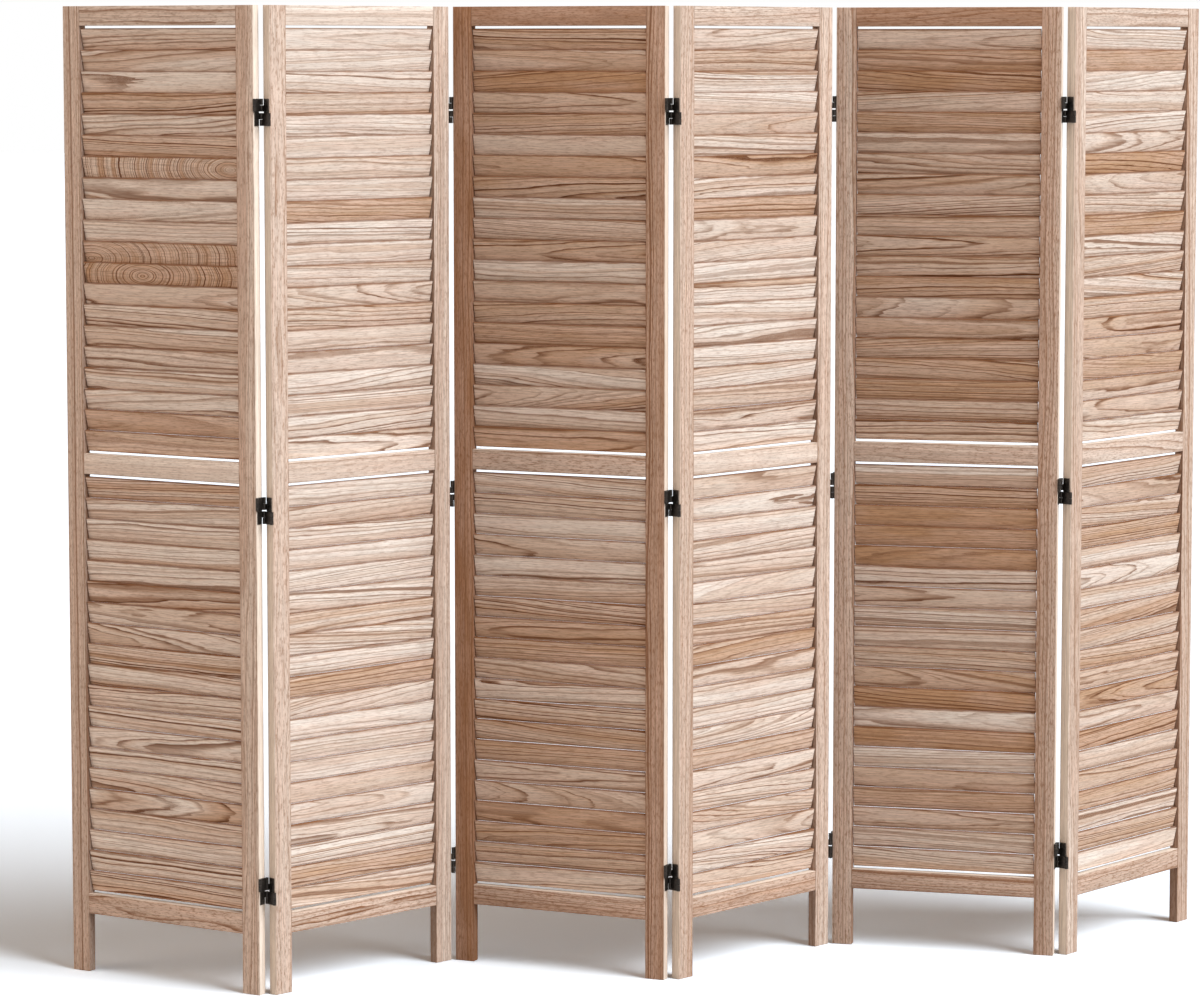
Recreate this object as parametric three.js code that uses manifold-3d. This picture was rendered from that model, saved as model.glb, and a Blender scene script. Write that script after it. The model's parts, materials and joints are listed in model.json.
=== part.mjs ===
// A folding room divider: six framed panels filled with horizontal slats that turn on end pins, joined
// by two-way hinges and standing in a zigzag on their own legs.
//
// Millimetres, +Z up. The row of panels runs along X, the front looks along -Y, and the legs stand on
// z = 0 with the origin under the middle of the row's box. Each panel is built in a frame of its own:
// x runs along its width from the left edge, y runs back from its front face, z runs up from the floor.

import * as THREE from "three";
import { mergeVertices } from "three/addons/utils/BufferGeometryUtils.js";
import Module from "manifold-3d";

const wasm = await Module();
wasm.setup();

// ---- Panels ----
const PANEL_HEIGHT = 1700;
const PANEL_WIDTH = 406;
const PANEL_THICKNESS = 17;
// How far each panel turns from the line of its left neighbour, in degrees. The first fold, and every
// second one after it, points its ridge at the viewer; the folds between point away.
const FOLD_TURNS = [75, 68, 71, 62, 65];

// ---- Frame boards ----
const STILE_WIDTH = 36;
const TOP_RAIL = 34;
const MIDDLE_RAIL = 36;
const BOTTOM_RAIL = 36;
const LEG_LENGTH = 104;

// ---- Slats ----
const SLAT_WIDTH = 37.5;
const SLAT_THICKNESS = 5;
const SLAT_EDGE_RADIUS = 1.4;
const SLAT_EDGE_STEPS = 2; // flats in each rounded edge
const SLAT_TILT = THREE.MathUtils.degToRad(14); // the top edge leans towards the front
const SLAT_LEAST_OVERLAP = 0.7; // how far a slat hides the next one, seen level
const SLAT_JOIN = 1.3; // how much of a slat's height runs on into the next slat of a bank
const SLAT_JOIN_LENGTH = 4; // and along how much of the slat, at each of its ends
const SLAT_SIDE_GAP = 1.5; // from a slat's end to the stile
const SLAT_END_GAP = 4.2; // from the outermost slat to the rail
const SLAT_PIN_RADIUS = 2;
const SLAT_PIN_REACH = 6; // how far a pin goes into the stile
const SLAT_PIN_ROOT = 3; // how far a pin is let into the slat

// ---- Hinges ----
const HINGE_HEIGHT = 46;
const HINGE_GAP = 7; // between the stiles of two panels that stand in line
const HINGE_END_INSET = 181; // from the panel's top, and from the floor, to an outer hinge's middle
const MIDDLE_HINGE_HEIGHT = 840;
const PIVOT_OUT = 1.5; // from a panel's face out to the pivot line
const LEAF_THICKNESS = 1.5;
const LEAF_INSET = 2.5; // from a panel's face to the leaf's edge
const LINK_THICKNESS = 1.6;
const LINK_GAP = 2.5; // between the upper and the lower link
const BARREL_CLEARANCE = 0.4; // from a barrel to the stile, and between two knuckles of one barrel
const HINGE_PIN_RADIUS = 1.3;

// ---- Fits ----
const SEAT_GAP = 0.3; // between two pieces that touch
const RUNNING_GAP = 0.3; // round a pin in its hole
const HOLE_END_GAP = 0.5; // past a pin's end
const PIN_SIDES = 8; // of a slat's pins and their holes
const BARREL_SIDES = 8; // of a hinge's barrels, pins and bores
const CUT_MARGIN = 1; // how far a bore runs past what it cuts
const JOIN_OVERLAP = 1; // how far the pieces of one solid run into each other

// ---- Derived sizes ----
const OPENING_WIDTH = PANEL_WIDTH - 2 * STILE_WIDTH;
const RAILS_AND_LEGS = TOP_RAIL + MIDDLE_RAIL + BOTTOM_RAIL + LEG_LENGTH;
const OPENING_HEIGHT = (PANEL_HEIGHT - RAILS_AND_LEGS) / 2;
const OPENING_FLOORS = {
  lower: LEG_LENGTH + BOTTOM_RAIL,
  upper: LEG_LENGTH + BOTTOM_RAIL + OPENING_HEIGHT + MIDDLE_RAIL,
};
const SLAT_LENGTH = OPENING_WIDTH - 2 * SLAT_SIDE_GAP;
const SLAT_RISE = SLAT_WIDTH * Math.cos(SLAT_TILT) + SLAT_THICKNESS * Math.sin(SLAT_TILT);
const SLAT_TRAVEL = OPENING_HEIGHT - 2 * SLAT_END_GAP - SLAT_RISE;
const SLAT_COUNT = 1 + Math.ceil(SLAT_TRAVEL / (SLAT_RISE - SLAT_LEAST_OVERLAP));
const SLAT_PITCH = SLAT_TRAVEL / (SLAT_COUNT - 1);
const BARREL_RADIUS = HINGE_GAP / 2 - BARREL_CLEARANCE;
const HINGE_HEIGHTS = {
  top: PANEL_HEIGHT - HINGE_END_INSET,
  middle: MIDDLE_HINGE_HEIGHT,
  bottom: HINGE_END_INSET,
};

// ---- Materials ----
const FRAME_WOOD = { color: 0xcdb196, roughness: 0.72, metalness: 0 };
const SLAT_WOOD = { color: 0xc3a283, roughness: 0.74, metalness: 0 };
const HINGE_METAL = { color: 0x1f1a17, roughness: 0.48, metalness: 0.7 };

function namedMesh(name, geometry, finish) {
  const mesh = new THREE.Mesh(geometry, new THREE.MeshStandardMaterial(finish));
  mesh.name = name;
  return mesh;
}

// ---- Joining and cutting ----

function solidOf(geometry) {
  const bare = geometry.clone();
  bare.deleteAttribute("normal");
  bare.deleteAttribute("uv");
  const merged = mergeVertices(bare);
  return new wasm.Manifold(
    new wasm.Mesh({
      numProp: 3,
      vertProperties: merged.attributes.position.array,
      triVerts: new Uint32Array(merged.index.array),
    }),
  );
}

function geometryOf(solid) {
  const mesh = solid.getMesh();
  const geometry = new THREE.BufferGeometry();
  geometry.setAttribute("position", new THREE.BufferAttribute(mesh.vertProperties, 3));
  geometry.setIndex(new THREE.BufferAttribute(mesh.triVerts, 1));
  geometry.computeVertexNormals();
  return geometry;
}

function joined(geometries) {
  return geometries.map(solidOf).reduce((whole, piece) => whole.add(piece));
}

// A box between two corners.
function boxBetween(low, high) {
  const size = high.map((value, axis) => value - low[axis]);
  const middle = high.map((value, axis) => (value + low[axis]) / 2);
  return new THREE.BoxGeometry(...size).translate(...middle);
}

// A round bar along X, with its middle at the given point.
function barAlongX(radius, length, middle) {
  const bar = new THREE.CylinderGeometry(radius, radius, length, PIN_SIDES);
  return bar.rotateZ(Math.PI / 2).translate(...middle);
}

// A round bar along Z, from one height to another.
function barAlongZ(radius, x, y, from, to) {
  const bar = new THREE.CylinderGeometry(radius, radius, to - from, BARREL_SIDES);
  return bar.rotateX(Math.PI / 2).translate(x, y, (from + to) / 2);
}

// The radius of a many-sided hole whose flats clear a pin by the running gap.
function holeRadius(pinRadius, sides) {
  return (pinRadius + RUNNING_GAP) / Math.cos(Math.PI / sides);
}

// A profile drawn in y and z, drawn out along X about x = 0.
function drawnAlongX(profile, length, curveSegments) {
  const settings = { depth: length, bevelEnabled: false, curveSegments };
  const solid = new THREE.ExtrudeGeometry(profile, settings);
  const axes = new THREE.Matrix4().makeBasis(
    new THREE.Vector3(0, 1, 0),
    new THREE.Vector3(0, 0, 1),
    new THREE.Vector3(1, 0, 0),
  );
  return solid.translate(0, 0, -length / 2).applyMatrix4(axes);
}

// ---- Slats ----

// The height of the middle of each slat in a section, from its top one down.
function slatHeights(section) {
  const ceiling = OPENING_FLOORS[section] + OPENING_HEIGHT;
  const first = ceiling - SLAT_END_GAP - SLAT_RISE / 2;
  return Array.from({ length: SLAT_COUNT }, (_, index) => first - index * SLAT_PITCH);
}

function slatPin(side, height) {
  const length = SLAT_PIN_ROOT + SLAT_SIDE_GAP + SLAT_PIN_REACH;
  const middle = SLAT_LENGTH / 2 - SLAT_PIN_ROOT + length / 2;
  return barAlongX(SLAT_PIN_RADIUS, length, [side * middle, 0, height]);
}

function slatPins(height) {
  return [slatPin(-1, height), slatPin(1, height)];
}

// One slat about its own turning line, upright, with rounded long edges.
function slatBoard() {
  const x = SLAT_THICKNESS / 2;
  const y = SLAT_WIDTH / 2;
  const r = SLAT_EDGE_RADIUS;
  const profile = new THREE.Shape();
  profile.absarc(x - r, y - r, r, 0, Math.PI / 2);
  profile.absarc(-x + r, y - r, r, Math.PI / 2, Math.PI);
  profile.absarc(-x + r, -y + r, r, Math.PI, 1.5 * Math.PI);
  profile.absarc(x - r, -y + r, r, 1.5 * Math.PI, 2 * Math.PI);
  return drawnAlongX(profile, SLAT_LENGTH, SLAT_EDGE_STEPS);
}

// A slat that turns by itself, leaning as the others do.
function turningSlat() {
  const slat = joined([slatBoard(), ...slatPins(0)]);
  return geometryOf(slat).rotateX(SLAT_TILT);
}

// A corner of a leaning slat in y and z, on its front or back and at its top or bottom, or a point that
// lies inwards from there along the same face.
function slatCorner(face, end, height, inwards = 0) {
  const reach = SLAT_WIDTH / 2 - inwards;
  const corner = new THREE.Vector2((face * SLAT_THICKNESS) / 2, end * reach);
  corner.rotateAround(new THREE.Vector2(), SLAT_TILT);
  return corner.add(new THREE.Vector2(0, height));
}

// Bars along X about x = 0, one above the other. The stations run from the top down, two to a bar, each a
// front and a back point in y and z. Between two bars the section runs on at both ends only.
function barsJoinedAtEnds(stations, length, joinLength) {
  const columns = [-length / 2, joinLength - length / 2, length / 2 - joinLength, length / 2];
  const positions = stations.flat().flatMap((point) => columns.flatMap((x) => [x, point.x, point.y]));
  const faces = [];
  const quad = (a, b, c, d) => faces.push(a, b, c, a, c, d);
  // The cells between stations and between columns: a row of bar, a row of gap, and so on.
  const rows = stations.length - 1;
  const spans = columns.length - 1;
  const isInside = (row, span) => row >= 0 && row < rows && span >= 0 && span < spans;
  const isFilled = (row, span) => isInside(row, span) && (row % 2 === 0 || span !== 1);
  for (let row = 0; row < rows; row += 1) {
    for (let span = 0; span < spans; span += 1) {
      if (!isFilled(row, span)) {
        continue;
      }
      const front = (down, right) => 8 * (row + down) + span + right;
      const back = (down, right) => front(down, right) + 4;
      quad(front(0, 0), front(1, 0), front(1, 1), front(0, 1));
      quad(back(0, 0), back(0, 1), back(1, 1), back(1, 0));
      if (!isFilled(row, span - 1)) {
        quad(front(0, 0), back(0, 0), back(1, 0), front(1, 0));
      }
      if (!isFilled(row, span + 1)) {
        quad(front(0, 1), front(1, 1), back(1, 1), back(0, 1));
      }
      if (!isFilled(row - 1, span)) {
        quad(front(0, 0), front(0, 1), back(0, 1), back(0, 0));
      }
      if (!isFilled(row + 1, span)) {
        quad(front(1, 0), back(1, 0), back(1, 1), front(1, 1));
      }
    }
  }
  const bars = new THREE.BufferGeometry();
  bars.setAttribute("position", new THREE.Float32BufferAttribute(positions, 3));
  return bars.setIndex(faces);
}

// The slats below the turning one. They lie open to each other over their length and are joined at both
// ends, where the foot of one slat's front runs on into the head of the next one's. Their height is
// counted from the turning slat's middle.
function slatBank() {
  const heights = Array.from({ length: SLAT_COUNT - 1 }, (_, index) => -(index + 1) * SLAT_PITCH);
  const first = heights[0];
  const last = heights[heights.length - 1];
  const stations = heights.flatMap((height) => [
    [slatCorner(-1, 1, height), slatCorner(1, 1, height, height === first ? 0 : SLAT_JOIN)],
    [slatCorner(-1, -1, height, height === last ? 0 : SLAT_JOIN), slatCorner(1, -1, height)],
  ]);
  const bars = barsJoinedAtEnds(stations, SLAT_LENGTH, SLAT_JOIN_LENGTH);
  const pins = [first, last].flatMap(slatPins);
  return geometryOf(joined([bars, ...pins]));
}

// ---- Frame ----

function addRectangle(path, left, right, bottom, top) {
  path.moveTo(left, bottom);
  path.lineTo(right, bottom);
  path.lineTo(right, top);
  path.lineTo(left, top);
  path.closePath();
  return path;
}

// The two stiles and three rails, seen from the front.
function frameOutline() {
  const inner = [STILE_WIDTH, PANEL_WIDTH - STILE_WIDTH];
  const outline = new THREE.Shape();
  outline.moveTo(0, 0);
  outline.lineTo(inner[0], 0);
  outline.lineTo(inner[0], LEG_LENGTH);
  outline.lineTo(inner[1], LEG_LENGTH);
  outline.lineTo(inner[1], 0);
  outline.lineTo(PANEL_WIDTH, 0);
  outline.lineTo(PANEL_WIDTH, PANEL_HEIGHT);
  outline.lineTo(0, PANEL_HEIGHT);
  outline.closePath();
  outline.holes = Object.values(OPENING_FLOORS).map((floor) =>
    addRectangle(new THREE.Path(), ...inner, floor, floor + OPENING_HEIGHT),
  );
  return outline;
}

// The holes in both stiles for the pins at one height.
function pinHoles(height) {
  const length = OPENING_WIDTH + 2 * (SLAT_PIN_REACH + HOLE_END_GAP);
  const middle = [PANEL_WIDTH / 2, PANEL_THICKNESS / 2, height];
  return barAlongX(holeRadius(SLAT_PIN_RADIUS, PIN_SIDES), length, middle);
}

function panelFrame() {
  const settings = { depth: PANEL_THICKNESS, bevelEnabled: false };
  const boards = new THREE.ExtrudeGeometry(frameOutline(), settings);
  boards.rotateX(Math.PI / 2).translate(0, PANEL_THICKNESS, 0);
  const pinned = ["upper", "lower"].flatMap((section) => {
    const heights = slatHeights(section);
    return [heights[0], heights[1], heights[heights.length - 1]];
  });
  return geometryOf(solidOf(boards).subtract(joined(pinned.map(pinHoles))));
}

// ---- Hinges ----

// One half of a two-way hinge: a leaf on the edge of its stile, and the link that goes with it. The
// origin is on the pivot line at the hinge's mid height. x runs from there to the leaf's own stile, y
// runs across the panel's edge to its other face, and the link fills the half above z = 0. The other
// half is the same piece turned over, and the two share the pivot's barrel, knuckle by knuckle.
function hingeHalf() {
  const stile = HINGE_GAP / 2;
  const leafX = [stile - SEAT_GAP - LEAF_THICKNESS, stile - SEAT_GAP];
  const leafY = [PIVOT_OUT + LEAF_INSET, PIVOT_OUT + PANEL_THICKNESS - LEAF_INSET];
  const farY = PANEL_THICKNESS + 2 * PIVOT_OUT;
  const top = HINGE_HEIGHT / 2;
  const inner = LINK_GAP / 2;
  const split = (top + inner) / 2;
  const knuckle = { from: split + BARREL_CLEARANCE / 2, to: split - BARREL_CLEARANCE / 2 };
  const linkX = LINK_THICKNESS / 2;
  const linkStart = BARREL_RADIUS + BARREL_CLEARANCE;

  const solids = joined([
    boxBetween([leafX[0], leafY[0], -top], [leafX[1], leafY[1], top]),
    // Above: from the leaf round the far barrel, along the link and back to the pivot's barrel.
    boxBetween([leafX[0], leafY[1] - JOIN_OVERLAP, inner], [leafX[1], farY, top]),
    barAlongZ(BARREL_RADIUS, 0, farY, inner, top),
    boxBetween([-linkX, linkStart, inner], [linkX, farY, top]),
    boxBetween([-linkX, 0, knuckle.from], [linkX, linkStart + JOIN_OVERLAP, top]),
    barAlongZ(BARREL_RADIUS, 0, 0, knuckle.from, top),
    barAlongZ(HINGE_PIN_RADIUS, 0, 0, inner, knuckle.from + JOIN_OVERLAP),
    // Below: the leaf's own knuckle of the pivot's barrel.
    boxBetween([leafX[0], 0, -knuckle.to], [leafX[1], leafY[0] + JOIN_OVERLAP, -inner]),
    barAlongZ(BARREL_RADIUS, 0, 0, -knuckle.to, -inner),
  ]);
  const boreRadius = holeRadius(HINGE_PIN_RADIUS, BARREL_SIDES);
  const bore = barAlongZ(boreRadius, 0, 0, -knuckle.to - CUT_MARGIN, -inner + CUT_MARGIN);
  return geometryOf(solids.subtract(solidOf(bore)));
}

// How a hinge half is turned in its panel's frame: which way its x and y point there.
function hingeTurn(alongWidth, alongDepth) {
  const x = new THREE.Vector3(alongWidth, 0, 0);
  const y = new THREE.Vector3(0, alongDepth, 0);
  const turn = new THREE.Matrix4().makeBasis(x, y, x.clone().cross(y));
  return new THREE.Quaternion().setFromRotationMatrix(turn);
}

// ---- Folds ----

// A fold whose ridge points at the viewer pivots behind the panels, the others in front of them.
function pivotDepth(fold) {
  const pointsAtViewer = fold % 2 === 0;
  return pointsAtViewer ? PANEL_THICKNESS + PIVOT_OUT : -PIVOT_OUT;
}

function pivotPoint(fold, side) {
  const x = side === "left_leaf" ? PANEL_WIDTH + HINGE_GAP / 2 : -HINGE_GAP / 2;
  return new THREE.Vector3(x, pivotDepth(fold), 0);
}

// The leaves of one fold that sit on one of its two panels.
function foldLeaves(fold, side, shape) {
  const towardsStile = side === "left_leaf" ? -1 : 1;
  const towardsFarFace = pivotDepth(fold) > 0 ? -1 : 1;
  return Object.entries(HINGE_HEIGHTS).map(([place, height]) => {
    const name = `hinge_${fold + 1}_${fold + 2}_${place}_${side}`;
    const leaf = namedMesh(name, shape, HINGE_METAL);
    leaf.position.copy(pivotPoint(fold, side)).setZ(height);
    leaf.quaternion.copy(hingeTurn(towardsStile, towardsFarFace));
    return leaf;
  });
}

// ---- Assembly ----

const shapes = {
  frame: panelFrame(),
  bank: slatBank(),
  slat: turningSlat(),
  hinge: hingeHalf(),
};

function panelGroup(index) {
  const panel = new THREE.Group();
  const name = `panel_${index + 1}`;
  panel.name = name;
  panel.add(namedMesh(`${name}_frame`, shapes.frame, FRAME_WOOD));
  for (const section of ["upper", "lower"]) {
    const turning = namedMesh(`${name}_${section}_turning_slat`, shapes.slat, SLAT_WOOD);
    const bank = namedMesh(`${name}_${section}_slats`, shapes.bank, SLAT_WOOD);
    for (const slats of [turning, bank]) {
      slats.position.set(PANEL_WIDTH / 2, PANEL_THICKNESS / 2, slatHeights(section)[0]);
      panel.add(slats);
    }
  }
  if (index > 0) {
    panel.add(...foldLeaves(index - 1, "right_leaf", shapes.hinge));
  }
  if (index < FOLD_TURNS.length) {
    panel.add(...foldLeaves(index, "left_leaf", shapes.hinge));
  }
  return panel;
}

// Each panel hangs on the pivot line of its left neighbour.
function foldingRow() {
  const row = new THREE.Group();
  let previous = panelGroup(0);
  row.add(previous);
  FOLD_TURNS.forEach((turn, fold) => {
    const direction = pivotDepth(fold) > 0 ? 1 : -1;
    const next = panelGroup(fold + 1);
    next.rotation.z = previous.rotation.z + direction * THREE.MathUtils.degToRad(turn);
    previous.updateMatrix();
    const pivot = pivotPoint(fold, "left_leaf").applyMatrix4(previous.matrix);
    const reach = pivotPoint(fold, "right_leaf").applyEuler(next.rotation);
    next.position.copy(pivot.sub(reach));
    row.add(next);
    previous = next;
  });
  return row;
}

// The row is turned so that its two ends lie along X, and moved so that its box stands on the origin.
function standingRow() {
  const row = foldingRow();
  row.updateMatrixWorld(true);
  const last = row.children[row.children.length - 1];
  const farEnd = new THREE.Vector3(PANEL_WIDTH, 0, 0).applyMatrix4(last.matrixWorld);
  row.rotation.z = -Math.atan2(farEnd.y, farEnd.x);
  const divider = new THREE.Group();
  divider.add(row);
  divider.updateMatrixWorld(true);
  const middle = new THREE.Box3().setFromObject(divider, true).getCenter(new THREE.Vector3());
  row.position.set(-middle.x, -middle.y, 0);
  return divider;
}

export default standingRow();
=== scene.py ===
import json
import math
import random

import bmesh
import bpy
import numpy as np
from mathutils import Matrix, Vector
from mathutils.geometry import tessellate_polygon

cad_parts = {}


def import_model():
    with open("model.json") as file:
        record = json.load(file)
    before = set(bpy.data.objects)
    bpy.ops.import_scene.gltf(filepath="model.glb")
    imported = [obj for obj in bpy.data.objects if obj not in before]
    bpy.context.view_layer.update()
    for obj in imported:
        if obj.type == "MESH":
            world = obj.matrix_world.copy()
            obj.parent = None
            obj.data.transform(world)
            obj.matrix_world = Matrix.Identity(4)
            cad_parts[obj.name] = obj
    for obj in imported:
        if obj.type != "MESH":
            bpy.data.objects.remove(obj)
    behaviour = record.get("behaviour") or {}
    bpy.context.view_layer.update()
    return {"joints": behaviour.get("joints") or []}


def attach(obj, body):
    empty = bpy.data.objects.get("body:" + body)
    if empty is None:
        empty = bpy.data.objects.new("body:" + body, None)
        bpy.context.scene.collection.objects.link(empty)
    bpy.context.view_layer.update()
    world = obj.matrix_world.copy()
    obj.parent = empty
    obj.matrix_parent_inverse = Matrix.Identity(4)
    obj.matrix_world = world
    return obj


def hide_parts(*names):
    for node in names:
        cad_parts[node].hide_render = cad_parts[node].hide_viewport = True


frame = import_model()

# A folding room divider of slatted wooden panels on two-way hinges. Metres, in the frame of the CAD part.
# A panel has a frame of its own: x along its width from the left edge, y back from its front face, z up.

# ---- Sizes ----

PANELS = 6
PANEL_HEIGHT = 1.700
PANEL_WIDTH = 0.406
PANEL_THICKNESS = 0.017
STILE_WIDTH = 0.036
TOP_RAIL = 0.034
MIDDLE_RAIL = 0.036
BOTTOM_RAIL = 0.036
LEG_LENGTH = 0.104
OPENING_HEIGHT = (PANEL_HEIGHT - TOP_RAIL - MIDDLE_RAIL - BOTTOM_RAIL - LEG_LENGTH) / 2
OPENING_WIDTH = PANEL_WIDTH - 2 * STILE_WIDTH
BOARD_EASE = 0.0007  # how far a board's arrises are eased
RAIL_SEAM = 0.00005  # between a rail's end and the stile

SLAT_COUNT = 20
SLAT_WIDTH = 0.0375
SLAT_THICKNESS = 0.005
SLAT_SIDE_GAP = 0.0015  # between a slat's end and the stile
SLAT_LENGTH = OPENING_WIDTH - 2 * SLAT_SIDE_GAP
SLAT_EDGE_RADIUS = 0.0007
SLAT_END_EASE = 0.0004
SLAT_TILT = math.radians(14)
SLAT_BOW = 0.0004  # the most that a slat bends to its front or back
SLAT_END_GAP = 0.0042  # between a section's first or last slat and the rail
SLAT_RISE = SLAT_WIDTH * math.cos(SLAT_TILT) + SLAT_THICKNESS * math.sin(SLAT_TILT)
SLAT_PITCH = (OPENING_HEIGHT - 2 * SLAT_END_GAP - SLAT_RISE) / (SLAT_COUNT - 1)
PIN_RADIUS = 0.002
PIN_REACH = 0.0022  # past the slat's end
PIN_ROOT = 0.002  # inside the slat

HINGE_HEIGHT = 0.046
HINGE_GAP = 0.007  # between the two stiles
HINGE_Z = {"top": 1.519, "middle": 0.840, "bottom": 0.181}
HINGE_EASE = 0.0003
HINGE_EASE_SHARE = 0.4  # of a plate's thickness, at most
HINGE_EASE_STEPS = 2
HINGE_LAP = 0.001  # how far the solids of a half run into each other
PIVOT_OUT = 0.0015  # from the panel's face to the pivot line
SEAT_GAP = 0.0003  # between a leaf and its stile
LEAF_THICKNESS = 0.0015
LEAF_INSET = 0.0025
LINK_THICKNESS = 0.0016
LINK_GAP = 0.0025
BARREL_RADIUS = 0.0030
BARREL_CLEARANCE = 0.0005
PIN_HEAD_RADIUS = 0.0015
PIN_HEAD_LENGTH = 0.002
PIN_HEAD_EASE = 0.0002
PIN_HEAD_SINK = 0.00002  # below the barrel's end

SCREW_RADIUS = 0.0023
SCREW_BASE_RADIUS = 0.8 * SCREW_RADIUS
SCREW_DEPTH = 0.0006
SCREW_DOME = 0.00025
SCREW_SINK = 0.0001  # below the leaf's face
CROSS_ARM = 0.0013
CROSS_HALF_WIDTH = 0.00035
CROSS_TAPER = 0.9
# A leaf's screws: how far each is from the hinge's mid height, and from the middle of the panel's edge.
SCREW_PLACES = ((-0.0155, -0.0018), (0, 0.0022), (0.0155, -0.0018))

# ---- Mesh making ----

SHARP_ANGLE = math.radians(40)


class Parts:
    """The solids of one piece: their corners, their faces, and the fields that the wood's nodes read."""

    def __init__(self):
        self.corners, self.faces, self.fields = [], [], {"grain": [], "ring": [], "tone": []}
        self.count = 0

    def add(self, corners, faces, matrix=None, wood=None):
        corners = np.asarray(corners, float)
        for name, rows in self.fields.items():
            rows.append(wood.field(name, corners) if wood else np.zeros_like(corners))
        if matrix is not None:
            m = np.array(matrix)
            corners = corners @ m[:3, :3].T + m[:3, 3]
        self.faces += [[i + self.count for i in face] for face in faces]
        self.corners.append(corners)
        self.count += len(corners)
        return self

    def piece(self, name, material, body, slot, *nodes):
        mesh = bpy.data.meshes.new(name)
        mesh.from_pydata(np.concatenate(self.corners).tolist(), [], self.faces)
        for field, rows in self.fields.items():
            attribute = mesh.attributes.new(field, "FLOAT_VECTOR", "POINT")
            attribute.data.foreach_set("vector", np.concatenate(rows).astype(np.float32).ravel())
        mesh.polygons.foreach_set("use_smooth", [True] * len(mesh.polygons))
        mesh.set_sharp_from_angle(angle=SHARP_ANGLE)
        mesh.materials.append(material)
        mesh.update()
        piece = bpy.data.objects.new(name, mesh)
        bpy.context.scene.collection.objects.link(piece)
        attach(piece, body)
        if nodes:
            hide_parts(*nodes)
        return piece


def from_bmesh(bm):
    bm.verts.index_update()
    corners = [v.co[:] for v in bm.verts]
    faces = [[v.index for v in f.verts] for f in bm.faces]
    bm.free()
    return corners, faces


def eased_box(size, ease, segments=3):
    """A box about its middle with rounded edges."""
    bm = bmesh.new()
    bmesh.ops.create_cube(bm, size=1, matrix=Matrix.Diagonal((*size, 1)))
    bmesh.ops.bevel(
        bm, geom=bm.edges[:], offset=ease, segments=segments, profile=0.5, affect="EDGES"
    )
    return from_bmesh(bm)


def span_box(low, high):
    """A metal box between two corners."""
    size = [b - a for a, b in zip(low, high)]
    ease = min(HINGE_EASE, min(size) * HINGE_EASE_SHARE)
    corners, faces = eased_box(size, ease, HINGE_EASE_STEPS)
    middle = [(a + b) / 2 for a, b in zip(low, high)]
    return np.array(corners) + middle, faces


def wall(low, high, count):
    """The faces between two rings of corners, which start at the numbers low and high."""
    pairs = [(k, (k + 1) % count) for k in range(count)]
    return [[low + k, low + n, high + n, high + k] for k, n in pairs]


def tube_faces(rings, count):
    """The sides and the two ends of a tube, whose corners come ring by ring."""
    faces = [face for ring in range(rings - 1) for face in wall(ring * count, (ring + 1) * count, count)]
    faces.append(list(range(count))[::-1])
    faces.append([(rings - 1) * count + k for k in range(count)])
    return faces


def circle(radius, sides):
    angles = [2 * math.pi * k / sides for k in range(sides)]
    return [(radius * math.cos(a), radius * math.sin(a)) for a in angles]


def barrel(radius, low, high, ease=HINGE_EASE, sides=32):
    """An upright cylinder with eased ends."""
    profile = [(radius - ease, low), (radius, low + ease), (radius, high - ease), (radius - ease, high)]
    corners = [(x, y, z) for r, z in profile for x, y in circle(r, sides)]
    return corners, tube_faces(len(profile), sides)


# ---- Materials ----


class Tree:
    """Short words for the nodes of a material or a world, its owner."""

    def __init__(self, owner):
        owner.use_nodes = True
        self.owner, self.tree = owner, owner.node_tree
        self.tree.nodes.clear()

    def node(self, kind, inputs=None, **settings):
        made = self.tree.nodes.new(kind)
        for key, value in settings.items():
            setattr(made, key, value)
        for key, value in (inputs or {}).items():
            if isinstance(value, bpy.types.NodeSocket):
                self.tree.links.new(value, made.inputs[key])
            else:
                made.inputs[key].default_value = value
        return made

    def field(self, name):
        return self.node("ShaderNodeAttribute", attribute_name=name).outputs["Vector"]

    def split(self, vector):
        return self.node("ShaderNodeSeparateXYZ", {0: vector}).outputs

    def maths(self, operation, *values):
        return self.node(
            "ShaderNodeMath", dict(enumerate(values)), operation=operation
        ).outputs[0]

    def product(self, first, *others):
        for other in others:
            first = self.maths("MULTIPLY", first, other)
        return first

    def scaled(self, vector, scale):
        return self.node(
            "ShaderNodeVectorMath", {0: vector, 1: scale}, operation="MULTIPLY"
        ).outputs[0]

    def noise(self, vector, detail=2.0, roughness=0.5):
        made = self.node(
            "ShaderNodeTexNoise",
            {"Vector": vector, "Scale": 1.0, "Detail": detail, "Roughness": roughness},
        )
        return made.outputs[0]

    def wave(self, value):
        made = self.node("ShaderNodeTexNoise", {"W": value, "Scale": 1.0}, noise_dimensions="1D")
        return made.outputs[0]

    def ramp(self, value, low, high, to_low=0.0, to_high=1.0):
        return self.node(
            "ShaderNodeMapRange", {0: value, 1: low, 2: high, 3: to_low, 4: to_high}
        ).outputs[0]

    def curve(self, value, stops):
        made = self.node("ShaderNodeValToRGB", {0: value})
        ramp = made.color_ramp
        while len(ramp.elements) < len(stops):
            ramp.elements.new(0.5)
        for element, (place, level) in zip(ramp.elements, stops):
            element.position = place
            element.color = (level, level, level, 1)
        return made.outputs[0]

    def mix(self, share, low, high, blend="MIX"):
        return self.node(
            "ShaderNodeMix", {0: share, 6: low, 7: high}, data_type="RGBA", blend_type=blend
        ).outputs[2]

    def finish(self, output, shader):
        self.node(output, {"Surface": shader.outputs[0]})
        return self.owner


def rgb(r, g, b):
    return (r, g, b, 1)


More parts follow.
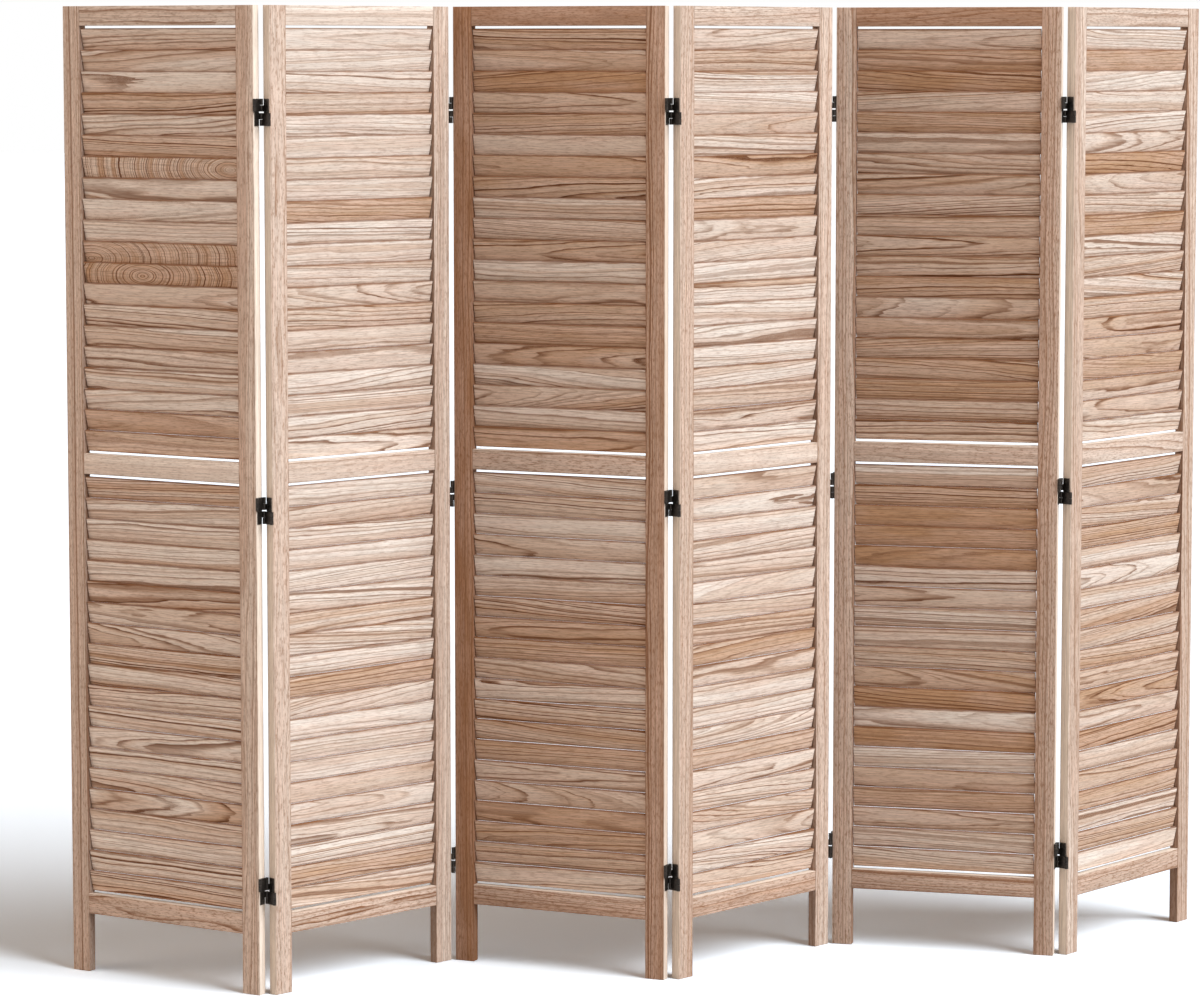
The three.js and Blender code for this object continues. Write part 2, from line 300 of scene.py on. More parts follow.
# How fine each unevenness of the wood is, in spots to a metre along, across and through the board.
SWAY_SCALE = (3.2, 24, 24)
RIPPLE_SCALE = (17, 150, 150)
BLOTCH_SCALE = (6, 34, 34)
FIBRE_SCALE = (16, 700, 700)
# Below: how the darkened strip along the arrises breaks up. The strip is wear and painted shade.
WEAR_AND_SHADE_SCALE = (25, 60, 60)
APART = (40, 70, 90)  # two boards' places in the noise are up to this far apart
SWAY, RIPPLE, YEARS = 2.6, 0.5, 1.8  # how far the rings are moved, in rings
# How dark a ring is, from its start (0) to its end (1). It darkens slowly, ends in a thin dark line, and
# the next one starts pale.
LATE_WOOD = [(0, 0.5), (0.08, 0.06), (0.4, 0.0), (0.62, 0.22), (0.84, 0.7), (1, 1)]
DARK_LINE = [(0, 0.8), (0.07, 0.0), (0.7, 0.0), (0.8, 0.5), (0.9, 1), (1, 1)]
BAND_SHARE, BLOTCH_SHARE, LATE_SHARE = 0.8, 0.4, 0.85
MOST_CONTRAST = 2


def place_in_noise(t, grain, seed):
    apart = t.node("ShaderNodeCombineXYZ", {0: seed, 1: seed, 2: seed}).outputs[0]
    return t.node(
        "ShaderNodeVectorMath", {0: apart, 1: APART, 2: grain}, operation="MULTIPLY_ADD"
    ).outputs[0]


def ring_radius(t, place, ring_y, ring_z, seed):
    """The distance from the pith, in rings, made uneven as growth is."""
    sway = t.maths("SUBTRACT", t.noise(t.scaled(place, SWAY_SCALE), 1.0), 0.5)
    ripple = t.maths("SUBTRACT", t.noise(t.scaled(place, RIPPLE_SCALE), 1.0), 0.5)
    flat_ring = t.node("ShaderNodeCombineXYZ", {1: ring_y, 2: ring_z}).outputs[0]
    radius = t.node("ShaderNodeVectorMath", {0: flat_ring}, operation="LENGTH").outputs["Value"]
    radius = t.maths("MULTIPLY_ADD", sway, SWAY, radius)
    radius = t.maths("MULTIPLY_ADD", ripple, RIPPLE, radius)
    years = t.wave(t.maths("MULTIPLY_ADD", seed, 50.0, t.maths("MULTIPLY", radius, 0.6)))
    return t.maths("MULTIPLY_ADD", t.maths("SUBTRACT", years, 0.5), YEARS, radius)


def ring_boldness(t, radius, ring_y, dive, contrast, seed):
    """How strong the lines of each ring are."""
    year = t.maths("MULTIPLY_ADD", seed, 91.0, t.maths("FLOOR", radius))
    strength = t.node(
        "ShaderNodeTexWhiteNoise", {"W": year}, noise_dimensions="1D"
    ).outputs["Value"]
    # Where the face runs along the rings, a line would spread into a patch, and is fainter.
    beside = t.maths("DIVIDE", t.maths("ABSOLUTE", ring_y), t.maths("ADD", radius, 0.1))
    crossing = t.maths("ADD", beside, dive)
    return t.product(
        t.ramp(strength, 0.1, 0.9, 0.2, 1),
        t.ramp(contrast, 0, MOST_CONTRAST, 0.4, 1.9),
        t.ramp(crossing, 0.02, 0.3, 0.25, 1),
    )


def wood_material(name, half_width, half_thickness, colours, outer, inner, arris, calm, pores):
    """Outer and inner are the colours of the narrow sides at +y and -y, and how far they take them. These
    are painted light and painted shade: pale on the frame's outer sides and the rails' tops, dark on the
    frame's inner sides and undersides and on both long edges of the slats. Arris is how wide the darkened
    strip along an arris is, and its strength; the strip is wear in part and painted shade in part,
    strongest on the slats, where it stands in for the shade along their edges. Calm is how faint the
    figure of the palest boards is. Pores are the flecks' scale along and across the grain, and their
    strength."""
    pale, warm, rosy, glow, dark = colours
    umber = tuple((2 * a + b) / 3 for a, b in zip(dark, glow))
    t = Tree(bpy.data.materials.new(name))
    grain = t.field("grain")
    dive, ring_y, ring_z = t.split(t.field("ring"))
    warmth, contrast, seed = t.split(t.field("tone"))
    depth = t.ramp(warmth, 0, 0.6, calm, 1)
    place = place_in_noise(t, grain, seed)
    radius = ring_radius(t, place, ring_y, ring_z, seed)
    phase = t.maths("FRACT", radius)
    bold = t.product(ring_boldness(t, radius, ring_y, dive, contrast, seed), depth)
    late = t.product(t.curve(phase, LATE_WOOD), bold)
    line = t.product(t.curve(phase, DARK_LINE), bold)
    # Wide bands of darker growth, and blotches that cross them.
    band = t.wave(t.maths("MULTIPLY_ADD", seed, 77.0, t.maths("MULTIPLY", radius, 0.23)))
    band_contrast = t.ramp(contrast, 0, MOST_CONTRAST, 0.2, 1.6)
    band = t.product(t.ramp(band, 0.47, 0.62), band_contrast, depth)
    blotch = t.product(t.ramp(t.noise(t.scaled(place, BLOTCH_SCALE)), 0.4, 0.66), depth)
    # Flecks and fibres along the grain.
    pores_along, pores_across, pore_share = pores
    fleck = t.noise(t.scaled(place, (pores_along, pores_across, pores_across)), 2.0, 0.7)
    fleck = t.product(t.ramp(fleck, 0.48, 0.68), t.ramp(warmth, 0, 0.5, calm, 1))
    fibre = t.noise(t.scaled(place, FIBRE_SCALE))
    colour = t.mix(warmth, pale, warm)
    colour = t.mix(t.product(band, BAND_SHARE), colour, warm)
    colour = t.mix(t.product(blotch, BLOTCH_SHARE), colour, rosy)
    colour = t.mix(t.product(late, LATE_SHARE), colour, glow)
    colour = t.mix(line, colour, dark)
    colour = t.mix(t.product(fleck, pore_share), colour, umber)
    # The narrow sides get another colour, as painted light and painted shade: pale on the frame's outer
    # sides and the rails' tops, dark on the frame's inner sides and undersides and on the slats' long
    # edges.
    _, board_y, board_z = t.split(grain)
    from_outer = t.maths("SUBTRACT", half_width, board_y)
    from_inner = t.maths("ADD", half_width, board_y)
    for distance, (painted_side_colour, painted_side_share) in ((from_outer, outer), (from_inner, inner)):
        colour = t.mix(t.ramp(distance, 0.0002, 0.0012, painted_side_share, 0), colour, painted_side_colour)
    # The arrises are darkened in places: wear in part and painted shade in part. It is strongest on the
    # slats and in the panels with more contrast, where it stands in for the shade along the slats' edges.
    wear_and_shade_width, wear_and_shade_share = arris
    across = t.maths("MINIMUM", from_outer, from_inner)
    through = t.maths("SUBTRACT", half_thickness, t.maths("ABSOLUTE", board_z))
    edge_wear_and_shade = t.product(
        t.ramp(t.maths("ADD", across, through), 0.0006, wear_and_shade_width, 1, 0),
        t.ramp(t.noise(t.scaled(place, WEAR_AND_SHADE_SCALE)), 0.35, 0.65),
        t.ramp(contrast, 0, MOST_CONTRAST, 0.6, 1.5),
    )
    colour = t.mix(t.product(edge_wear_and_shade, wear_and_shade_share), colour, umber)
    shade = t.ramp(fibre, 0.32, 0.68, 0.83, 1.13)
    shades = t.node("ShaderNodeCombineColor", {0: shade, 1: shade, 2: shade}).outputs[0]
    colour = t.mix(1.0, colour, shades, "MULTIPLY")
    height = t.maths("MULTIPLY_ADD", fleck, -0.6, t.maths("MULTIPLY_ADD", fibre, 0.5, line))
    bump = t.node("ShaderNodeBump", {"Height": height, "Strength": 0.4, "Distance": 0.0004})
    surface = {
        "Base Color": colour,
        "Roughness": t.ramp(t.maths("ADD", fleck, line), 0.0, 1.2, 0.6, 0.85),
        "Normal": bump.outputs[0],
        "Specular IOR Level": 0.1,
    }
    return t.finish("ShaderNodeOutputMaterial", t.node("ShaderNodeBsdfPrincipled", surface))


def metal_material(name, dark, light, roughness):
    """Blackened metal: cloudy, with fine bright specks and an uneven sheen."""
    t = Tree(bpy.data.materials.new(name))
    place = t.node("ShaderNodeTexCoord").outputs["Object"]
    cast = t.noise(t.scaled(place, (260, 260, 260)), 3.0, 0.6)
    speck = t.noise(t.scaled(place, (1500, 1500, 1500)), 2.0, 0.6)
    colour = t.mix(t.ramp(cast, 0.35, 0.7), dark, light)
    colour = t.mix(t.ramp(speck, 0.62, 0.75, 0.0, 0.4), colour, light)
    bump = t.node("ShaderNodeBump", {"Height": speck, "Strength": 0.2, "Distance": 0.0001})
    surface = {
        "Base Color": colour,
        "Roughness": t.ramp(cast, 0.3, 0.7, roughness - 0.08, roughness + 0.14),
        "Normal": bump.outputs[0],
        "Metallic": 0.75,
    }
    return t.finish("ShaderNodeOutputMaterial", t.node("ShaderNodeBsdfPrincipled", surface))


# The five colours of a wood are its pale and brown ground, its blotches, late wood and dark lines.
FRAME_WOOD = wood_material(
    "frame_wood",
    STILE_WIDTH / 2,
    PANEL_THICKNESS / 2,
    colours=(
        rgb(0.97, 0.89, 0.81),
        rgb(0.42, 0.225, 0.13),
        rgb(0.78, 0.57, 0.47),
        rgb(0.50, 0.27, 0.13),
        rgb(0.18, 0.07, 0.03),
    ),
    # The frame's pale outer sides are painted light, and its dark inner sides are painted shade.
    outer=(rgb(0.97, 0.89, 0.79), 0.7),
    inner=(rgb(0.20, 0.09, 0.045), 0.45),
    # The darkened arris strip is wear and painted shade.
    arris=(0.0030, 0.4),
    calm=0.35,
    pores=(90, 430, 0.7),
)
# The slats' dark grain colour, which is also the painted shade on their long edges.
SLAT_DARK_AND_SHADE = rgb(0.15, 0.055, 0.024)
SLAT_WOOD = wood_material(
    "slat_wood",
    SLAT_WIDTH / 2,
    SLAT_THICKNESS / 2,
    colours=(
        rgb(1.00, 0.93, 0.86),
        rgb(0.61, 0.38, 0.23),
        rgb(0.88, 0.68, 0.59),
        rgb(0.58, 0.30, 0.13),
        SLAT_DARK_AND_SHADE,
    ),
    # Both long edges of the slats are painted dark, as painted shade between the slats.
    outer=(SLAT_DARK_AND_SHADE, 0.7),
    inner=(SLAT_DARK_AND_SHADE, 0.7),
    # A wide, strong arris strip: wear, and painted shade along the slats' edges.
    arris=(0.0027, 0.8),
    calm=0.75,
    pores=(55, 500, 0.45),
)
HINGE_METAL = metal_material("hinge_metal", rgb(0.018, 0.015, 0.013), rgb(0.05, 0.04, 0.033), 0.42)
SCREW_METAL = metal_material("screw_metal", rgb(0.03, 0.026, 0.022), rgb(0.10, 0.085, 0.07), 0.34)

# ---- Cuts of wood ----

# Each cut: the rings' spacing in metres, the share of flat-cut boards, and how much the rings wander from
# the board's length.
STILE_CUT = ((0.003, 0.006), 0.25, 0.006)
RAIL_CUT = ((0.005, 0.010), 0.4, 0.02)
SLAT_CUT = ((0.004, 0.009), 0.3, 0.035)
ARCHED_CUT = ((0.0018, 0.0028), 1.0, 0.03)
ARCHED_DIVE = 0.45
# How far the pith leans from the board's normal, in radians, and its distance from the board's middle.
FLAT_LEAN = (0.0, 0.35)
STEEP_LEAN = (0.8, 1.5)
PITH_REACH = (0.016, 0.07)


class Wood:
    """Where a board was cut from its log. The board's x, y and z are its length, width and thickness. Dive
    is how steeply the rings pass through its face. Outer is -1 if the outer narrow side is at -y."""

    def __init__(self, rng, spacing, flat, slope, tone, dive=0.0, outer=1):
        self.spacing = rng.uniform(*spacing)
        lean = rng.uniform(*(FLAT_LEAN if rng.random() < flat else STEEP_LEAN))
        lean *= rng.choice((-1, 1))
        reach = rng.uniform(*PITH_REACH)
        self.pith = np.array((0, reach * math.sin(lean), reach * math.cos(lean)))
        self.slopes = np.array((0, rng.gauss(0, slope), rng.gauss(dive, slope)))
        self.tone = np.array((*tone, rng.random()))
        self.outer = np.array((1, outer, 1))

    def field(self, name, corners):
        """Grain is the corner's place in the board, and tone is the board's brown, contrast and seed. Ring
        is the way from the pith, in rings; nothing varies along the log, so its x holds the dive."""
        if name == "grain":
            return corners * self.outer
        if name == "tone":
            return np.tile(self.tone, (len(corners), 1))
        ring = (corners - self.pith - corners[:, :1] * self.slopes) / self.spacing
        ring[:, 0] = abs(self.slopes[2])
        return ring


# ---- Placing ----

JOINTS = {joint["name"]: joint for joint in frame["joints"]}


def panel_matrix(number):
    """The panel's own frame, from the turning line of its upper slat."""
    joint = JOINTS[f"slat_turn_{number}_upper"]
    along = Vector(joint["axis"]).normalized()
    back = Vector((-along.y, along.x, 0))
    middle = Vector(joint["pos_m"])
    corner = middle - along * PANEL_WIDTH / 2 - back * PANEL_THICKNESS / 2
    m = Matrix.Identity(4)
    for row in range(3):
        m[row][0], m[row][1] = along[row], back[row]
    m[0][3], m[1][3] = corner.x, corner.y
    return m


PLACES = {number: panel_matrix(number) for number in range(1, PANELS + 1)}
FLOORS = {
    "lower": LEG_LENGTH + BOTTOM_RAIL,
    "upper": LEG_LENGTH + BOTTOM_RAIL + OPENING_HEIGHT + MIDDLE_RAIL,
}
RAILS = {  # a rail's lower edge and its height
    "top": (PANEL_HEIGHT - TOP_RAIL, TOP_RAIL),
    "middle": (FLOORS["upper"] - MIDDLE_RAIL, MIDDLE_RAIL),
    "bottom": (LEG_LENGTH, BOTTOM_RAIL),
}
# From a board's length, width and thickness to the panel's frame.
UPRIGHT = Matrix(((0, 1, 0, 0), (0, 0, 1, 0), (1, 0, 0, 0), (0, 0, 0, 1)))
LEVEL = Matrix(((1, 0, 0, 0), (0, 0, -1, 0), (0, 1, 0, 0), (0, 0, 0, 1)))

# ---- Boards ----

# How brown each board is, from pale (0) to brown (1): stiles left and right, rails from the top down. The
# browner boards of panels 3 and 5 are partly their own tone and partly painted shade.
BOARD_TONES_AND_SHADE = {
    1: (0.34, 0.29, 0.27, 0.07, 0.50),
    2: (0.42, 0.25, 0.03, 0.20, 0.50),
    3: (1.00, 0.77, 0.84, 0.48, 0.65),
    4: (0.45, 0.34, 0.28, 0.10, 0.50),
    5: (0.43, 0.55, 0.88, 0.36, 0.55),
    6: (0.30, 0.36, 0.33, 0.30, 0.50),
}
BOARD_CONTRAST = (0.35, 0.9)
BOARD_SEED = 1000


def board_tone(number, board, rng):
    return BOARD_TONES_AND_SHADE[number][board], rng.uniform(*BOARD_CONTRAST)


def board_piece(name, number, middle, turn, size, wood):
    """A board of a panel's frame, its middle at x and z of the panel."""
    x, z = middle
    place = PLACES[number] @ Matrix.Translation((x, PANEL_THICKNESS / 2, z)) @ turn
    board = Parts().add(*eased_box(size, BOARD_EASE), place, wood)
    return board.piece(name, FRAME_WOOD, f"panel_{number}", "frame_wood")


def frame_boards(number):
    rng = random.Random(BOARD_SEED + number)
    name = f"panel_{number}"
    stiles = (("left", STILE_WIDTH / 2, -1), ("right", PANEL_WIDTH - STILE_WIDTH / 2, 1))
    for board, (side, x, outer) in enumerate(stiles):
        wood = Wood(rng, *STILE_CUT, board_tone(number, board, rng), outer=outer)
        size = (PANEL_HEIGHT, STILE_WIDTH, PANEL_THICKNESS)
        middle = (x, PANEL_HEIGHT / 2)
        board_piece(f"{name}_{side}_stile", number, middle, UPRIGHT, size, wood)
    for board, (rail, (floor, height)) in enumerate(RAILS.items(), start=2):
        wood = Wood(rng, *RAIL_CUT, board_tone(number, board, rng))
        size = (OPENING_WIDTH - 2 * RAIL_SEAM, height, PANEL_THICKNESS)
        middle = (PANEL_WIDTH / 2, floor + height / 2)
        board_piece(f"{name}_{rail}_rail", number, middle, LEVEL, size, wood)
    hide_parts(f"{name}_frame")


# ---- Slats ----

EDGE_STEPS = 4
SLAT_STATIONS = 11
PIN_SIDES = 12
# How brown each panel's slats are about, and the least and most contrast of their figure. The browner
# slats of panels 3 and 5 are painted shade in part. The extra contrast of panels 1, 3 and 5 also deepens
# the painted shade along their slats' edges.
SLAT_TONES_AND_SHADE = {1: 0.00, 2: 0.00, 3: 0.50, 4: 0.08, 5: 0.50, 6: 0.26}
SLAT_TONE_SPREAD = 0.3
SLAT_CONTRAST = {
    1: (0.6, 1.5),
    2: (0.4, 1.0),
    3: (0.5, 1.1),
    4: (0.4, 1.0),
    5: (0.5, 1.1),
    6: (0.4, 1.0),
}
ARCHED_SHARE = 0.01
# Slats that stand out: how brown, and whether the rings dive through the face and draw arcs on it.
NOTABLE = {
    (1, "upper", 6): (0.35, True),
    (1, "upper", 10): (0.60, True),
    (1, "upper", 11): (0.70, True),
    (2, "upper", 8): (0.75, False),
    (4, "upper", 8): (0.80, False),
    (6, "upper", 4): (0.00, False),
    (6, "upper", 6): (0.95, False),
    (6, "upper", 9): (0.85, False),
}
SEE_THROUGH = (3, 5)  # the panels whose lower slats show thin slits of light
# How far the slats lean from their common tilt, in degrees.
UPPER_SLACK = (-1.4, 0.4)
LOWER_SLACK = (-2.6, -0.9)
SEE_THROUGH_SLACK = (-1.9, 0.9)


def slat_shape():
    """A slat about its middle, upright: x is its length, y its thickness, z its width."""
    profile = []
    for quarter, (sy, sz) in enumerate(((1, 1), (-1, 1), (-1, -1), (1, -1))):
        cy = sy * (SLAT_THICKNESS / 2 - SLAT_EDGE_RADIUS)
        cz = sz * (SLAT_WIDTH / 2 - SLAT_EDGE_RADIUS)
        for k in range(EDGE_STEPS + 1):
            a = (quarter + k / EDGE_STEPS) * math.pi / 2
            profile.append((cy, cz, math.cos(a), math.sin(a)))
    half = SLAT_LENGTH / 2
    inner = half - SLAT_END_EASE
    stations = [-half, *np.linspace(-inner, inner, SLAT_STATIONS), half]
    corners = []
    for x in stations:
        r = SLAT_EDGE_RADIUS - (SLAT_END_EASE if abs(x) == half else 0)
        corners += [(x, cy + r * ca, cz + r * sa) for cy, cz, ca, sa in profile]
    # The rings run round y to z, against their way along x, so the faces are turned to look out.
    faces = [face[::-1] for face in tube_faces(len(stations), len(profile))]
    return np.array(corners), faces


SLAT = slat_shape()
SLAT_PIN = barrel(PIN_RADIUS, 0, PIN_REACH + PIN_ROOT, sides=PIN_SIDES)


def slat_wood(number, section, index, rng):
    brown = min(1.0, max(0.0, rng.gauss(SLAT_TONES_AND_SHADE[number], SLAT_TONE_SPREAD)))
    arched = rng.random() < ARCHED_SHARE
    brown, arched = NOTABLE.get((number, section, index), (brown, arched))
    tone = (brown, rng.uniform(*SLAT_CONTRAST[number]))
    if arched:
        return Wood(rng, *ARCHED_CUT, tone, dive=rng.choice((-ARCHED_DIVE, ARCHED_DIVE)))
    return Wood(rng, *SLAT_CUT, tone)


def slack(number, section, rng):
    if section == "upper":
        limits = UPPER_SLACK
    else:
        limits = SEE_THROUGH_SLACK if number in SEE_THROUGH else LOWER_SLACK
    return math.radians(rng.uniform(*limits))


def slat_place(number, section, index):
    ceiling = FLOORS[section] + OPENING_HEIGHT
    z = ceiling - SLAT_END_GAP - SLAT_RISE / 2 - index * SLAT_PITCH
    return PLACES[number] @ Matrix.Translation((PANEL_WIDTH / 2, PANEL_THICKNESS / 2, z))


def add_slat(parts, wood, place, lean, bow):
    """One slat with its end pins, turned about its own line."""
    corners, faces = SLAT
    share = 1 - (2 * corners[:, 0] / SLAT_LENGTH) ** 2
    bent = corners + np.outer(share, (0, bow, 0))
    # The wood's length, width and thickness are the slat's x, z and y.
    swap = Matrix(((1, 0, 0, 0), (0, 0, 1, 0), (0, 1, 0, 0), (0, 0, 0, 1)))
    lying = bent[:, [0, 2, 1]]
    turn = place @ Matrix.Rotation(lean, 4, "X")
    parts.add(lying, faces, turn @ swap, wood)
    for side in (-1, 1):
        to_x = Matrix.Rotation(side * math.pi / 2, 4, "Y")
        start = Matrix.Translation((side * (SLAT_LENGTH / 2 - PIN_ROOT), 0, 0))
        parts.add(*SLAT_PIN, turn @ start @ to_x, wood)


def slats(number, section):
    """The top slat, which turns, and the row of the others. The row's first slat keeps to the common tilt
    and is straight, so that the turning one clears it."""
    rng = random.Random(f"slats {number} {section}")
    name = f"panel_{number}_{section}"
    top = Parts()
    wood = slat_wood(number, section, 0, rng)
    add_slat(top, wood, slat_place(number, section, 0), SLAT_TILT, 0)
    top.piece(
        f"{name}_top_slat", SLAT_WOOD, f"slat_{number}_{section}", "slat_wood",
        f"{name}_turning_slat",
    )
    row = Parts()
    for index in range(1, SLAT_COUNT):
        steady = index == 1
        loose = slack(number, section, rng)
        lean = SLAT_TILT + (0 if steady else loose)
        bow = 0 if steady else rng.uniform(-SLAT_BOW, SLAT_BOW)
        wood = slat_wood(number, section, index, rng)
        add_slat(row, wood, slat_place(number, section, index), lean, bow)
    row.piece(
        f"{name}_slat_row", SLAT_WOOD, f"panel_{number}", "slat_wood", f"{name}_slats"
    )


# ---- Hinges ----

SCREW_SIDES = 24
PIN_HEAD_SIDES = 20


def screw_head():
    """A countersunk head with a cross recess, facing along z, its rim on z = 0."""
    rim = circle(SCREW_RADIUS, SCREW_SIDES)
    cross = []
    for quarter in range(4):
        c, s = math.cos(quarter * math.pi / 2), math.sin(quarter * math.pi / 2)
        for x, y in (
            (CROSS_ARM, -CROSS_HALF_WIDTH),
            (CROSS_ARM, CROSS_HALF_WIDTH),
            (CROSS_HALF_WIDTH, CROSS_HALF_WIDTH),
        ):
            cross.append((c * x - s * y, s * x + c * y))
    corners = [(x, y, 0.0) for x, y in rim] + [(x, y, SCREW_DOME) for x, y in cross]
    corners += [(x * CROSS_TAPER, y * CROSS_TAPER, -SCREW_DEPTH) for x, y in cross]
    corners += [(x, y, -SCREW_DEPTH) for x, y in circle(SCREW_BASE_RADIUS, SCREW_SIDES)]
    recess, recess_floor = len(rim), len(rim) + len(cross)
    base = recess_floor + len(cross)
    outlines = [[Vector((x, y, 0)) for x, y in outline] for outline in (rim, cross)]
    faces = [list(face) for face in tessellate_polygon(outlines)]
    faces += wall(recess, recess_floor, len(cross))
    faces.append([recess_floor + k for k in range(len(cross))])
    faces += wall(0, base, len(rim))
    faces.append([base + k for k in range(len(rim))])
    bm = bmesh.new()
    verts = [bm.verts.new(corner) for corner in corners]
    for face in faces:
        bm.faces.new([verts[i] for i in face])
    bmesh.ops.recalc_face_normals(bm, faces=bm.faces[:])
    return from_bmesh(bm)


def hinge_half():
    """A leaf and the link that goes with it, about the pivot line at the hinge's mid height: x to the
    leaf's own stile, y across the panel's edge to its other face, the link above z = 0."""
    stile = HINGE_GAP / 2
    leaf_x = (stile - SEAT_GAP - LEAF_THICKNESS, stile - SEAT_GAP)
    leaf_y = (PIVOT_OUT + LEAF_INSET, PIVOT_OUT + PANEL_THICKNESS - LEAF_INSET)
    far = PANEL_THICKNESS + 2 * PIVOT_OUT
    top = HINGE_HEIGHT / 2
    inner = LINK_GAP / 2
    split = (top + inner) / 2
    apart = BARREL_CLEARANCE / 2
    link_start = BARREL_RADIUS + BARREL_CLEARANCE
    half_link = LINK_THICKNESS / 2
    parts = Parts()
    for low, high in (
        ((leaf_x[0], leaf_y[0], -top), (leaf_x[1], leaf_y[1], top)),
        ((leaf_x[0], leaf_y[1] - HINGE_LAP, inner), (leaf_x[1], far, top)),
        ((-half_link, link_start, inner), (half_link, far, top)),
        ((-half_link, 0, split + apart), (half_link, link_start + HINGE_LAP, top)),
        ((leaf_x[0], 0, apart - split), (leaf_x[1], leaf_y[0] + HINGE_LAP, -inner)),
    ):
        parts.add(*span_box(low, high))
    # The far barrel in two knuckles about its own link, and this half's knuckles of the near one. The
    # pins' heads stand a little in from the barrels' ends.
    knuckles = (
        (far, inner, split - apart),
        (far, split + apart, top),
        (0, split + apart, top),
        (0, apart - split, -inner),
    )
    round_parts = [(y, barrel(BARREL_RADIUS, low, high)) for y, low, high in knuckles]
    ends = (top - PIN_HEAD_LENGTH, top - PIN_HEAD_SINK)
    head = barrel(PIN_HEAD_RADIUS, *ends, PIN_HEAD_EASE, PIN_HEAD_SIDES)
    round_parts += [(far, head), (0, head)]
    for y, (corners, faces) in round_parts:
        parts.add(np.array(corners) + (0, y, 0), faces)
    return np.concatenate(parts.corners), parts.faces


SCREW = screw_head()
HINGE_HALF = hinge_half()


def half_place(fold, side, number, z):
    """A half's place on its panel. At a ridge, where two panels fold back to back, the pivot line is at
    their backs."""
    ridge = fold % 2 == 1
    left = side == "left_leaf"
    x = PANEL_WIDTH + HINGE_GAP / 2 if left else -HINGE_GAP / 2
    y = PANEL_THICKNESS + PIVOT_OUT if ridge else -PIVOT_OUT
    towards = -1 if left else 1
    across = -1 if ridge else 1
    turn = Matrix.Diagonal((towards, across, towards * across, 1))
    return PLACES[number] @ Matrix.Translation((x, y, z)) @ turn


def hinge(fold, level, z):
    face_x = HINGE_GAP / 2 - SEAT_GAP - LEAF_THICKNESS
    middle = PIVOT_OUT + PANEL_THICKNESS / 2
    facing = Matrix.Rotation(-math.pi / 2, 4, "Y")
    for side, number in (("left_leaf", fold), ("right_leaf", fold + 1)):
        place = half_place(fold, side, number, z)
        name = f"hinge_{fold}_{fold + 1}_{level}_{side}"
        half = Parts().add(*HINGE_HALF, place)
        half.piece(f"{name}_plate", HINGE_METAL, f"panel_{number}", "hinge_metal", name)
        heads = Parts()
        for height, behind in SCREW_PLACES:
            spot = Matrix.Translation((face_x - SCREW_SINK, middle + behind, height))
            heads.add(*SCREW, place @ spot @ facing)
        heads.piece(f"{name}_screws", SCREW_METAL, f"panel_{number}", "hinge_metal")


# ---- Stage ----

KEY_AZIMUTH = math.radians(47)  # right of the front
KEY_ELEVATION = math.radians(40)
KEY_STRENGTH = 1.08
KEY_SPREAD = math.radians(40)
KEY_COLOUR = (1, 1, 1)
SIDE_AZIMUTH = math.radians(-84)
SIDE_ELEVATION = math.radians(16)
SIDE_STRENGTH = 0.36
SIDE_SPREAD = math.radians(50)
FILL_COLOUR = (1.0, 0.77, 0.61)
FILL_STRENGTH = 0.47
FILL_LEFT, FILL_RIGHT, FILL_OVERHEAD = 1.2, 0.8, 0.12  # shares of its strength
FLOOR_SEEN = (1.22, 1.36, 1.50)
FLOOR_LIGHT = 0.4
FLOOR_SIZE = 60
FLOOR_DROP = 0.0002  # below the legs

CAMERA_PLACE = (-1.615, -7.173, 1.622)
CAMERA_YAW = math.radians(-11.80)
CAMERA_PITCH = math.radians(-5.21)
CAMERA_LENS = 125.1
CAMERA_SENSOR = 36
CAMERA_SHIFT_Y = -0.06
CAMERA_CLIP_END = 200


def seen(t):
    """1 for a ray that the viewer sees, straight or in a mirror or through glass."""
    path = t.node("ShaderNodeLightPath").outputs
    mirrored = t.maths("MAXIMUM", path["Is Camera Ray"], path["Is Glossy Ray"])
    return t.maths("MAXIMUM", mirrored, path["Is Transmission Ray"])


def floor():
    bm = bmesh.new()
    bmesh.ops.create_grid(bm, x_segments=4, y_segments=4, size=FLOOR_SIZE)
    mesh = bpy.data.meshes.new("floor")
    bm.to_mesh(mesh)
    bm.free()
    ground = bpy.data.objects.new("floor", mesh)
    bpy.context.scene.collection.objects.link(ground)
    ground.location.z = -FLOOR_DROP
    t = Tree(bpy.data.materials.new("floor"))
    colour = t.mix(seen(t), rgb(FLOOR_LIGHT, FLOOR_LIGHT, FLOOR_LIGHT), rgb(*FLOOR_SEEN))
    surface = t.node("ShaderNodeBsdfDiffuse", {"Color": colour})
    mesh.materials.append(t.finish("ShaderNodeOutputMaterial", surface))


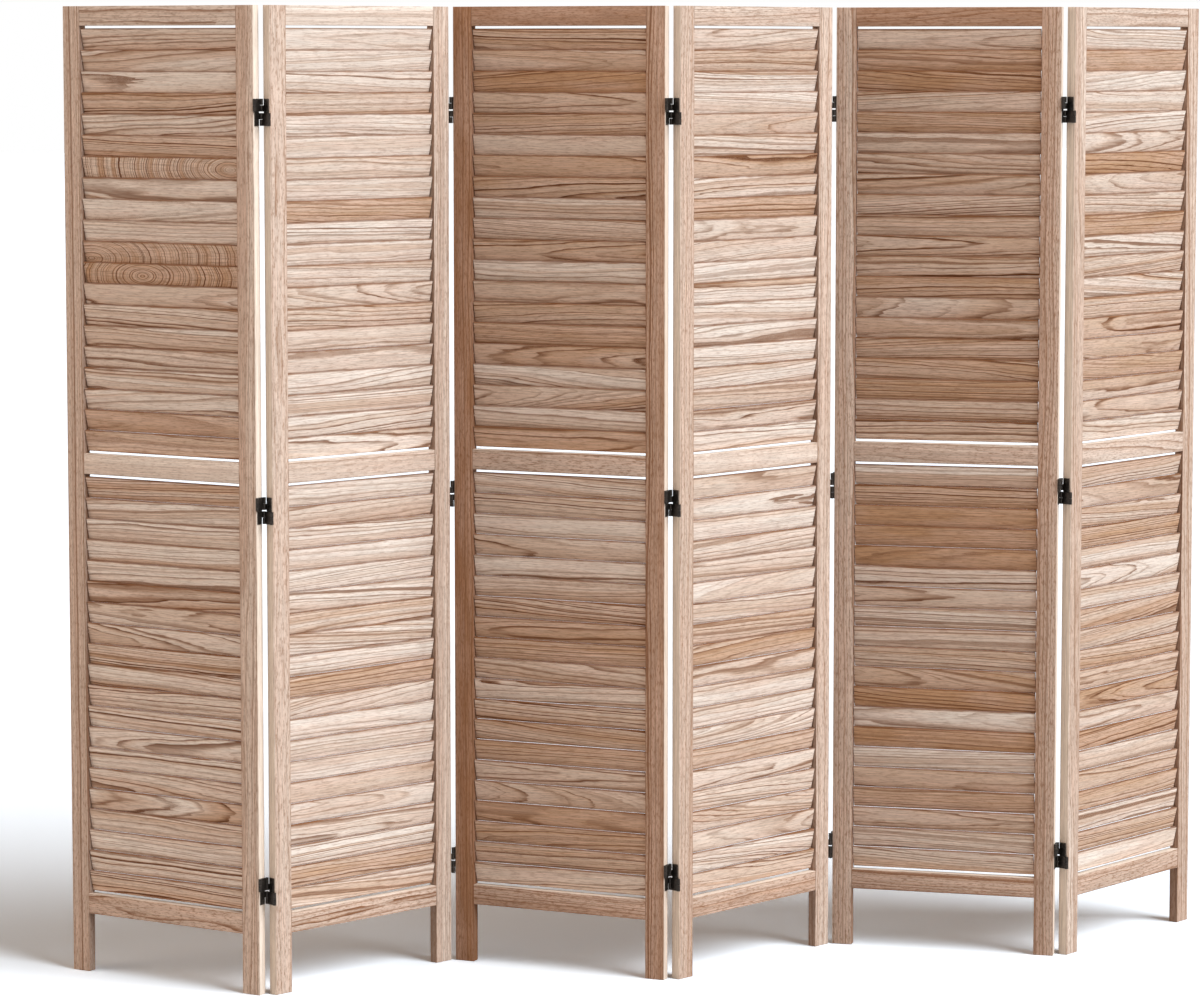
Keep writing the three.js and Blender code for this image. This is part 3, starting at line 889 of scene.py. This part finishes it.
def world():
    """A soft fill from all sides, low and a little stronger from the left, before a white backdrop."""
    made = bpy.data.worlds.new("studio")
    bpy.context.scene.world = made
    t = Tree(made)
    way_x, _, way_z = t.split(t.node("ShaderNodeTexCoord").outputs["Generated"])
    low = t.ramp(way_z, 0.25, 0.75, 1, FILL_OVERHEAD)
    side = t.ramp(way_x, -1, 1, FILL_LEFT, FILL_RIGHT)
    level = t.product(low, side, FILL_STRENGTH)
    fill = t.node("ShaderNodeBackground", {0: rgb(*FILL_COLOUR), 1: level})
    white = t.node("ShaderNodeBackground", {0: rgb(1, 1, 1), 1: 1.0})
    shades = {0: seen(t), 1: fill.outputs[0], 2: white.outputs[0]}
    t.finish("ShaderNodeOutputWorld", t.node("ShaderNodeMixShader", shades))


def soft_sun(name, azimuth, elevation, strength, spread, colour):
    lamp = bpy.data.lights.new(name, "SUN")
    lamp.energy = strength * math.pi
    lamp.angle = spread
    lamp.color = colour
    made = bpy.data.objects.new(name, lamp)
    bpy.context.scene.collection.objects.link(made)
    to_light = Vector((
        math.sin(azimuth) * math.cos(elevation),
        -math.cos(azimuth) * math.cos(elevation),
        math.sin(elevation),
    ))
    made.rotation_euler = to_light.to_track_quat("Z", "Y").to_euler()


def camera():
    data = bpy.data.cameras.new("camera")
    data.sensor_width = CAMERA_SENSOR
    data.sensor_fit = "HORIZONTAL"
    data.lens = CAMERA_LENS
    data.shift_y = CAMERA_SHIFT_Y
    data.clip_end = CAMERA_CLIP_END
    made = bpy.data.objects.new("camera", data)
    bpy.context.scene.collection.objects.link(made)
    made.location = CAMERA_PLACE
    made.rotation_euler = (math.pi / 2 + CAMERA_PITCH, 0, CAMERA_YAW)
    bpy.context.scene.camera = made


# ---- The scene ----

for number in range(1, PANELS + 1):
    frame_boards(number)
    for section in ("upper", "lower"):
        slats(number, section)
for fold in range(1, PANELS):
    for level, z in HINGE_Z.items():
        hinge(fold, level, z)
floor()
world()
soft_sun("key", KEY_AZIMUTH, KEY_ELEVATION, KEY_STRENGTH, KEY_SPREAD, KEY_COLOUR)
soft_sun("side", SIDE_AZIMUTH, SIDE_ELEVATION, SIDE_STRENGTH, SIDE_SPREAD, FILL_COLOUR)
camera()
bpy.context.scene.view_settings.view_transform = "Standard"
